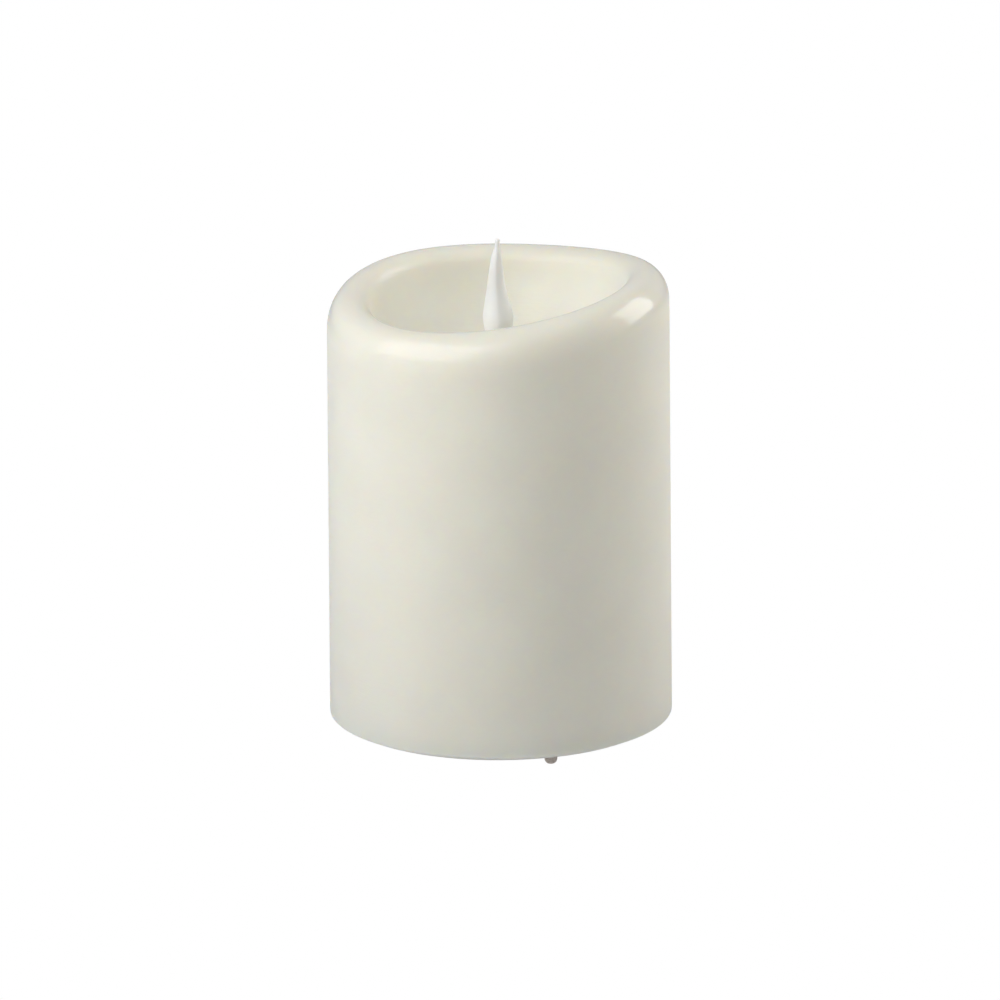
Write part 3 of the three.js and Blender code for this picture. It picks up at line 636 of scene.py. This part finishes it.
def make_cell(name, node, direction):
    """An AA cell along X; its positive end points along direction."""
    steel, jacket, band = 0, 1, 2
    outline = [
        (0.0, 0.2, steel),
        (4.4, 0.2, steel),
        (4.8, 0.0, steel),
        (5.6, 0.0, steel),
        (6.0, 0.35, steel),
        (6.3, 0.35, jacket),
        (6.45, 0.22, jacket),
        (6.8, 0.25, jacket),
        (7.02, 0.42, jacket),
        (CELL_R, 0.8, jacket),
        (CELL_R, BAND_START, band),
        (CELL_R, 48.0, band),
        (7.02, 48.4, band),
        (6.75, 48.62, band),
        (5.3, 48.66, band),
        (5.15, 48.5, steel),
        (4.3, 48.5, steel),
        (4.0, 48.95, steel),
        (3.0, 49.0, steel),
        (2.75, 49.2, steel),
        (2.75, 50.1, steel),
        (2.66, 50.33, steel),
        (2.45, CELL_L, steel),
        (0.0, CELL_L, steel),
    ]

    def warp(corner, index):
        x = direction * (CELL_TIP_X - CELL_L + corner.z)
        return Vector((x, direction * (CELL_Y + corner.x), CELL_Z + corner.y))

    looks = [point[2] for point in outline]
    piece = turned(name, outline, 72, warp, looks=looks)
    materials = (MATERIALS["steel"], MATERIALS["cell"], CELL_BAND)
    return finish_piece(piece, "candle", "cell", materials, node)


make_cell("cell_right", "battery_1", 1)
make_cell("cell_left", "battery_2", -1)

# ---------------------------------------------------------------- battery contacts

CONTACT_X = 26.3
CONTACT_THICK = 0.4
CONTACT_HALF = 5
CONTACT_LOW = 6.5
CONTACT_HIGH = 18.4
TAIL_TOP = 22.4
TAIL_HALF = 1.2
SPRING_TURNS = 2.5
SPRING_BASE_R = 4.2
SPRING_TIP_R = 2.0
SPRING_H = 1.4
SPRING_BAR_R = 0.3
SPRING_STEPS = 90


def contact_leaf(bm, side, y0, y1, tail=None):
    """A plate against the tray's end wall, with an optional tail through the ceiling."""
    x0, x1 = sorted((side * CONTACT_X, side * (CONTACT_X + CONTACT_THICK)))
    slab(bm, x0, x1, y0, y1, CONTACT_LOW, CONTACT_HIGH)
    if tail is not None:
        slab(bm, x0, x1, tail - TAIL_HALF, tail + TAIL_HALF, CONTACT_HIGH, TAIL_TOP)


def contact_spring(bm, side, y):
    path = []
    for step in range(SPRING_STEPS + 1):
        share = step / SPRING_STEPS
        angle = share * SPRING_TURNS * 2 * math.pi
        radius = SPRING_BASE_R + (SPRING_TIP_R - SPRING_BASE_R) * share
        x = side * (CONTACT_X + 0.1 - SPRING_H * share)
        path.append(Vector((x, y + radius * math.cos(angle), CELL_Z + radius * math.sin(angle))))
    sweep(bm, path, SPRING_BAR_R, 12)


def contact_dimple(bm, side, y):
    """The low boss that meets a cell's positive tip."""
    outline = [(0.0, -0.1), (2.1, -0.1), (1.9, 0.08), (1.4, 0.19), (0.7, 0.22), (0.0, 0.22)]

    def warp(corner, index):
        return Vector((side * (CONTACT_X - corner.z), y + corner.x, CELL_Z + corner.y))

    lathe(bm, outline, 40, warp)


def make_contacts():
    positive = bmesh.new()
    contact_leaf(positive, 1, CELL_Y - CONTACT_HALF, CELL_Y + CONTACT_HALF, CELL_Y)
    contact_dimple(positive, 1, CELL_Y)
    negative = bmesh.new()
    contact_leaf(negative, 1, -CELL_Y - CONTACT_HALF, -CELL_Y + CONTACT_HALF, -CELL_Y)
    contact_spring(negative, 1, -CELL_Y)
    bridge = bmesh.new()
    contact_leaf(bridge, -1, -CELL_Y - CONTACT_HALF, CELL_Y + CONTACT_HALF)
    contact_spring(bridge, -1, CELL_Y)
    contact_dimple(bridge, -1, -CELL_Y)
    for name, bm in (("positive", positive), ("negative", negative), ("bridge", bridge)):
        piece = round_edges(to_piece(f"{name}_leaf", bm, 30.0), 0.08, 60.0)
        finish_piece(piece, "candle", "contact", MATERIALS["contact"], f"contact_{name}")


make_contacts()

# ---------------------------------------------------------------- marks moulded on the underside

FLANGE_BOTTOM = 1.8
MARK_HEIGHT = 0.16
MARK_ROOT = 0.1
MARK_X = 12.0
BEAD_R = 30.9
BEAD_WIDTH = 0.5
BEAD_ARCS = ((-18, 18), (36, 144), (162, 198), (216, 324))  # degrees from +X
TIMER_R = 1.15
SIGN_X = 20
SIGN_LENGTH = 4
SIGN_WIDTH = 0.8
COVER_BOTTOM = 1.9
SWITCH_Y = -25.0
TRAY_CEILING = 19.2


def raised_bar(bm, x, y, length, width, turn, low, high):
    place = Matrix.Translation((x, y, (low + high) / 2)) @ Matrix.Rotation(math.radians(turn), 4, "Z")
    size = Matrix.Diagonal((length, width, high - low, 1))
    bmesh.ops.create_cube(bm, size=1.0, matrix=place @ size)


def raised_ring(bm, x, y, radius, width, low, high, sides):
    outline = [(radius - width / 2, low), (radius + width / 2, low), (radius + width / 2, high)]
    outline.append((radius - width / 2, high))

    def warp(corner, index):
        return corner + Vector((x, y, 0))

    lathe(bm, outline, sides, warp)


def raised_arc(bm, radius, width, start, end, low, high):
    """Adds a raised bar along an arc about the axis, with a step every 3 degrees."""
    inner, outer = radius - width / 2, radius + width / 2
    steps = round((end - start) / 3)
    rows = []
    for step in range(steps + 1):
        angle = math.radians(start + (end - start) * step / steps)
        across = Vector((math.cos(angle), math.sin(angle), 0))
        corners = ((inner, low), (outer, low), (outer, high), (inner, high))
        rows.append([bm.verts.new(across * r + Vector((0, 0, z))) for r, z in corners])
    for near, far in zip(rows, rows[1:]):
        for i in range(4):
            after = (i + 1) % 4
            bm.faces.new((near[i], near[after], far[after], far[i]))
    bm.faces.new(rows[0])
    bm.faces.new(rows[-1])


def make_base_marks():
    """A bead round the plate, open where the cover's corners lie, and the signs for on and timer."""
    bm = bmesh.new()
    low, high = FLANGE_BOTTOM - MARK_HEIGHT, FLANGE_BOTTOM + MARK_ROOT
    for start, end in BEAD_ARCS:
        raised_arc(bm, BEAD_R, BEAD_WIDTH, start, end, low, high)
    raised_bar(bm, -MARK_X, SWITCH_Y, 2.2, 0.45, 90, low, high)
    raised_ring(bm, MARK_X, SWITCH_Y, TIMER_R, 0.4, low, high, 40)
    raised_bar(bm, MARK_X, SWITCH_Y - 0.35, 0.9, 0.35, 90, low, high)
    raised_bar(bm, MARK_X + 0.3, SWITCH_Y, 0.75, 0.35, 0, low, high)
    piece = round_edges(to_piece("base_marks", bm, 30.0), 0.06)
    finish_piece(piece, "candle", "housing", MATERIALS["housing"])


def make_tray_marks():
    """Plus and minus signs on the ceiling of the battery well, over the cells' ends."""
    bm = bmesh.new()
    low, high = TRAY_CEILING - MARK_HEIGHT, TRAY_CEILING + MARK_ROOT
    for direction in (1, -1):
        y = direction * CELL_Y
        raised_bar(bm, direction * SIGN_X, y, SIGN_LENGTH, SIGN_WIDTH, 0, low, high)
        raised_bar(bm, direction * SIGN_X, y, SIGN_LENGTH, SIGN_WIDTH, 90, low, high)
        raised_bar(bm, -direction * SIGN_X, y, SIGN_LENGTH, SIGN_WIDTH, 90, low, high)
    piece = round_edges(to_piece("tray_marks", bm, 30.0), 0.08)
    finish_piece(piece, "candle", "housing", MATERIALS["housing"])


def make_cover_mark():
    """A small raised arrow by the latch, pointing to the edge that lifts."""
    bm = bmesh.new()
    corners = [(-1.6, 6.2), (1.6, 6.2), (0.0, 8.4)]
    low, high = COVER_BOTTOM - MARK_HEIGHT, COVER_BOTTOM + MARK_ROOT
    bottom = [bm.verts.new((x, y, low)) for x, y in corners]
    top = [bm.verts.new((x, y, high)) for x, y in corners]
    bm.faces.new(bottom)
    bm.faces.new(top)
    for i in range(3):
        after = (i + 1) % 3
        bm.faces.new((bottom[i], bottom[after], top[after], top[i]))
    piece = round_edges(to_piece("cover_arrow", bm, 30.0), 0.06)
    finish_piece(piece, "cover", "housing", MATERIALS["housing"])


make_base_marks()
make_tray_marks()
make_cover_mark()

# ---------------------------------------------------------------- carried-over CAD pieces


def copied(name, node):
    """A copy of a CAD node's mesh with its flat faces made whole again."""
    bm = bmesh.new()
    bm.from_mesh(NODES[node].data)
    bmesh.ops.remove_doubles(bm, verts=bm.verts, dist=1e-6)
    bmesh.ops.dissolve_limit(bm, angle_limit=math.radians(0.6), verts=bm.verts, edges=bm.edges)
    mesh = bpy.data.meshes.new(name)
    bm.to_mesh(mesh)
    bm.free()
    mesh.shade_smooth()
    return mesh


def dressed(name, node, body, slot, width, smooth_angle):
    """Stands for a CAD node, with rounded edges."""
    mesh = copied(name, node)
    mesh.set_sharp_from_angle(angle=math.radians(smooth_angle))
    piece = round_edges(add_object(name, mesh), width, smooth_angle)
    return finish_piece(piece, body, slot, MATERIALS[slot], node)


def softened(name, node, body, slot):
    """Stands for a wire or another round bar, with its facets smoothed away."""
    piece = add_object(name, copied(name, node))
    subdivision = piece.modifiers.new("round", "SUBSURF")
    subdivision.levels = 2
    subdivision.render_levels = 2
    return finish_piece(piece, body, slot, MATERIALS[slot], node)


DRESSED = {
    "base_plate": ("base_moulding", 0.12),
    "housing_lid": ("lid_moulding", 0.15),
    "battery_cover": ("battery_door", 0.12),
    "switch_knob": ("slide_knob", 0.1),
    "switch_body": ("switch_case", 0.1),
    "circuit_board": ("board_panel", 0.08),
    "controller_chip": ("chip_package", 0.04),
    "timer_crystal": ("crystal_can", 0.08),
    "capacitor": ("capacitor_can", 0.06),
    "transistor": ("transistor_case", 0.06),
    "resistor_1": ("resistor_body_1", 0.06),
    "resistor_2": ("resistor_body_2", 0.06),
}
SOFTENED = {
    "led_wire_red": "led_lead_red",
    "led_wire_black": "led_lead_black",
    "battery_wire_red": "battery_lead_red",
    "battery_wire_black": "battery_lead_black",
}
SLOTS = {part["node"]: part["material_slot"] for part in frame["record"]["subparts"]}
BODY_OF = {}
for body, members in frame["record"]["behaviour"]["bodies"].items():
    for member in members:
        BODY_OF[member] = body

ROUND_MOULDINGS = ("base_plate", "housing_lid")
ROUND_ANGLE = 18.0
CORNER_ANGLE = 30.0
for node, (name, width) in DRESSED.items():
    angle = ROUND_ANGLE if node in ROUND_MOULDINGS else CORNER_ANGLE
    dressed(name, node, BODY_OF[node], SLOTS[node], width, angle)
for node, name in SOFTENED.items():
    softened(name, node, BODY_OF[node], SLOTS[node])

# ---------------------------------------------------------------- screws

SCREW_R = 0.85
SCREW_HEAD_R = 1.9
SCREW_HEAD_H = 1.2
SCREW_BRIM = 0.45
SCREW_EDGE = 0.08
SCREW_POINT = 1.2
THREAD_PITCH = 0.8
THREAD_DEPTH = 0.18
RECESS_REACH = 1.1
RECESS_HALF = 0.25
RECESS_FLOOR = 0.55


def make_screw(name, node):
    """A self-tapping pan-head screw, threaded, with a cross recess. The node's box gives its place."""
    low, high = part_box(node)
    centre = (low + high) / 2 / MM
    seat = high.z / MM - SCREW_HEAD_H
    length = seat - low.z / MM
    steps = round(length / THREAD_PITCH * 8)
    outline = [(0.0, -length)]
    outline += [(SCREW_R, -length + length * i / steps) for i in range(steps)]
    threaded = len(outline)
    outline += [(SCREW_R, 0.0), (SCREW_HEAD_R - SCREW_EDGE, 0.0)]
    outline += [(SCREW_HEAD_R, SCREW_EDGE), (SCREW_HEAD_R, SCREW_BRIM)]
    outline += arc(0, SCREW_BRIM, SCREW_HEAD_R, SCREW_HEAD_H - SCREW_BRIM, 10, 90, 10)
    outline[-1] = (0.0, SCREW_HEAD_H)

    def warp(corner, index):
        if 0 < index < threaded:
            turn = math.atan2(corner.y, corner.x) / (2 * math.pi)
            wave = abs(2 * ((corner.z / THREAD_PITCH - turn) % 1.0) - 1)
            point = min(1.0, (corner.z + length) / SCREW_POINT + 0.35)
            corner.xy *= (1 - THREAD_DEPTH / SCREW_R * wave) * point
        return corner

    bm = bmesh.new()
    lathe(bm, outline, 40, warp)
    body = to_piece(name, bm, 40.0)
    cutter = bmesh.new()
    reach, half = RECESS_REACH, RECESS_HALF
    slab(cutter, -reach, reach, -half, half, RECESS_FLOOR, SCREW_HEAD_H + 1)
    cross = bmesh.new()
    slab(cross, -half, half, -reach, reach, RECESS_FLOOR, SCREW_HEAD_H + 1)
    for tool in (to_piece("recess", cutter), to_piece("recess", cross)):
        boolean = body.modifiers.new("recess", "BOOLEAN")
        boolean.operation = "DIFFERENCE"
        boolean.solver = "EXACT"
        boolean.object = tool
        graph = bpy.context.evaluated_depsgraph_get()
        mesh = bpy.data.meshes.new_from_object(body.evaluated_get(graph))
        body.modifiers.clear()
        body.data = mesh
        bpy.data.objects.remove(tool)
    body.data.transform(Matrix.Translation(Vector((centre.x, centre.y, seat)) * MM))
    body.data.set_sharp_from_angle(angle=math.radians(40))
    return finish_piece(body, "candle", "steel", MATERIALS["steel"], node)


for number in (1, 2, 3, 4):
    make_screw(f"housing_screw_{number}", f"lid_screw_{number}")
for number in (1, 2):
    make_screw(f"panel_screw_{number}", f"board_screw_{number}")

for node, piece in NODES.items():
    if piece.hide_render:
        continue
    piece.data.materials.clear()
    piece.data.materials.append(MATERIALS[SLOTS[node]])

# ---------------------------------------------------------------- floor and light


COOL = (0.972, 0.982, 1.0)
NEUTRAL = (1.0, 1.0, 1.0)
WARM = (1.0, 0.985, 0.95)
# azimuth and elevation in degrees (0 is in front, 90 on the right), size in metres, watts, tint
SOFT_BOXES = {
    "key_box": (-62, 38, 0.69, 0.45, 2.93, COOL),
    "right_box": (108, 25, 0.345, 0.4, 2.15, WARM),
    "front_box": (-19, 42, 0.4, 0.45, 0.68, NEUTRAL),
    "top_box": (5, 66, 0.6, 0.6, 0.62, NEUTRAL),
}
BOX_DISTANCE = 0.6
BOX_TARGET = (0.0, 0.0, 0.06)
AMBIENT = 0.03
REFLECTED = 0.55
# painted shade: the floor's colour is darker near the candle, so it bounces less light onto the wax's
# lower part
FLOOR_PAINTED_SHADE = (0.65, 0.66, 0.71)
FLOOR_FAR = (0.98, 0.98, 0.98)
FLOOR_FADE = (0.05, 0.22)  # distances from the axis in metres over which the floor's painted shade fades to pale
FLOOR_HALF = 1.5
UNDERSIDE = ["base_moulding", "battery_door", "slide_knob", "switch_case", "base_marks", "cover_arrow"]
UNDERSIDE += ["tray_marks", "cell_right", "cell_left", "foot_pip_1", "foot_pip_2", "foot_pip_3"]
UNDERSIDE += ["positive_leaf", "negative_leaf", "bridge_leaf"]


def make_floor():
    """A pale floor that bounces light, with painted shade that darkens its colour near the candle. The
    camera sees it plain white, and from below it is clear.
    """
    half = FLOOR_HALF
    mesh = bpy.data.meshes.new("floor")
    corners = [(-half, -half, 0), (half, -half, 0), (half, half, 0), (-half, half, 0)]
    mesh.from_pydata(corners, [], [(0, 1, 2, 3)])
    floor = add_object("floor", mesh)
    material, tree, shader = new_material("pale_floor")
    reach = tree.nodes.new("ShaderNodeVectorMath")
    reach.operation = "LENGTH"
    tree.links.new(position(tree), reach.inputs[0])
    # painted shade on the floor near the candle, fading to pale further out
    tone = two_tones(tree, reach.outputs["Value"], FLOOR_PAINTED_SHADE, FLOOR_FAR, *FLOOR_FADE)
    tree.links.new(tone, shader.inputs["Base Color"])
    shader.inputs["Roughness"].default_value = 0.9
    white = tree.nodes.new("ShaderNodeEmission")
    white.inputs["Strength"].default_value = 1.0
    clear = tree.nodes.new("ShaderNodeBsdfTransparent")
    side = tree.nodes.new("ShaderNodeNewGeometry")
    rays = tree.nodes.new("ShaderNodeLightPath")
    see_through = tree.nodes.new("ShaderNodeMath")
    see_through.operation = "MAXIMUM"
    tree.links.new(side.outputs["Backfacing"], see_through.inputs[0])
    tree.links.new(rays.outputs["Is Shadow Ray"], see_through.inputs[1])
    lit = tree.nodes.new("ShaderNodeMixShader")
    tree.links.new(rays.outputs["Is Camera Ray"], lit.inputs["Fac"])
    tree.links.new(shader.outputs[0], lit.inputs[1])
    tree.links.new(white.outputs[0], lit.inputs[2])
    whole = tree.nodes.new("ShaderNodeMixShader")
    tree.links.new(see_through.outputs["Value"], whole.inputs["Fac"])
    tree.links.new(lit.outputs[0], whole.inputs[1])
    tree.links.new(clear.outputs[0], whole.inputs[2])
    output = next(n for n in tree.nodes if n.type == "OUTPUT_MATERIAL")
    tree.links.new(whole.outputs[0], output.inputs["Surface"])
    mesh.materials.append(material)


def soft_box(name, azimuth, elevation, width, height, watts, tint):
    """An area light that looks at the candle and isn't seen by the camera."""
    data = bpy.data.lights.new(name, "AREA")
    data.shape = "RECTANGLE"
    data.size = width
    data.size_y = height
    data.energy = watts
    data.color = tint
    light = bpy.data.objects.new(name, data)
    bpy.context.scene.collection.objects.link(light)
    a, e = math.radians(azimuth), math.radians(elevation)
    back = Vector((math.sin(a) * math.cos(e), -math.cos(a) * math.cos(e), math.sin(e)))
    light.location = Vector(BOX_TARGET) + back * BOX_DISTANCE
    light.rotation_mode = "QUATERNION"
    light.rotation_quaternion = (-back).to_track_quat("-Z", "Y")
    light.visible_camera = False
    return light


def make_under_light():
    """Lights under the floor, one that only reaches the underside's pieces and one for the wax's edge."""
    plate_light = soft_box("under_box", -30, -80, 0.5, 0.5, 1.8, NEUTRAL)
    edge_light = soft_box("edge_box", 0, -90, 0.15, 0.15, 0.12, NEUTRAL)
    for light, names in ((plate_light, UNDERSIDE), (edge_light, ["wax_pillar"])):
        lit = bpy.data.collections.new(f"lit_by_{light.name}")
        for name in names:
            lit.objects.link(bpy.data.objects[name])
        light.light_linking.receiver_collection = lit


def make_world():
    """White for the camera, pale in reflections, and dim as a light."""
    world = bpy.data.worlds.new("studio")
    world.use_nodes = True
    tree = world.node_tree
    rays = tree.nodes.new("ShaderNodeLightPath")
    output = next(n for n in tree.nodes if n.type == "OUTPUT_WORLD")
    dim = tree.nodes["Background"]
    dim.inputs["Color"].default_value = (1, 1, 1, 1)
    dim.inputs["Strength"].default_value = AMBIENT
    result = dim.outputs[0]
    for ray, strength in (("Is Glossy Ray", REFLECTED), ("Is Camera Ray", 1.0)):
        bright = tree.nodes.new("ShaderNodeBackground")
        bright.inputs["Strength"].default_value = strength
        bright.inputs["Color"].default_value = (1, 1, 1, 1)
        mix = tree.nodes.new("ShaderNodeMixShader")
        tree.links.new(rays.outputs[ray], mix.inputs["Fac"])
        tree.links.new(result, mix.inputs[1])
        tree.links.new(bright.outputs[0], mix.inputs[2])
        result = mix.outputs[0]
    tree.links.new(result, output.inputs["Surface"])
    bpy.context.scene.world = world


make_floor()
for name, row in SOFT_BOXES.items():
    soft_box(name, *row)

make_under_light()
make_world()
bpy.context.scene.view_settings.view_transform = "Standard"
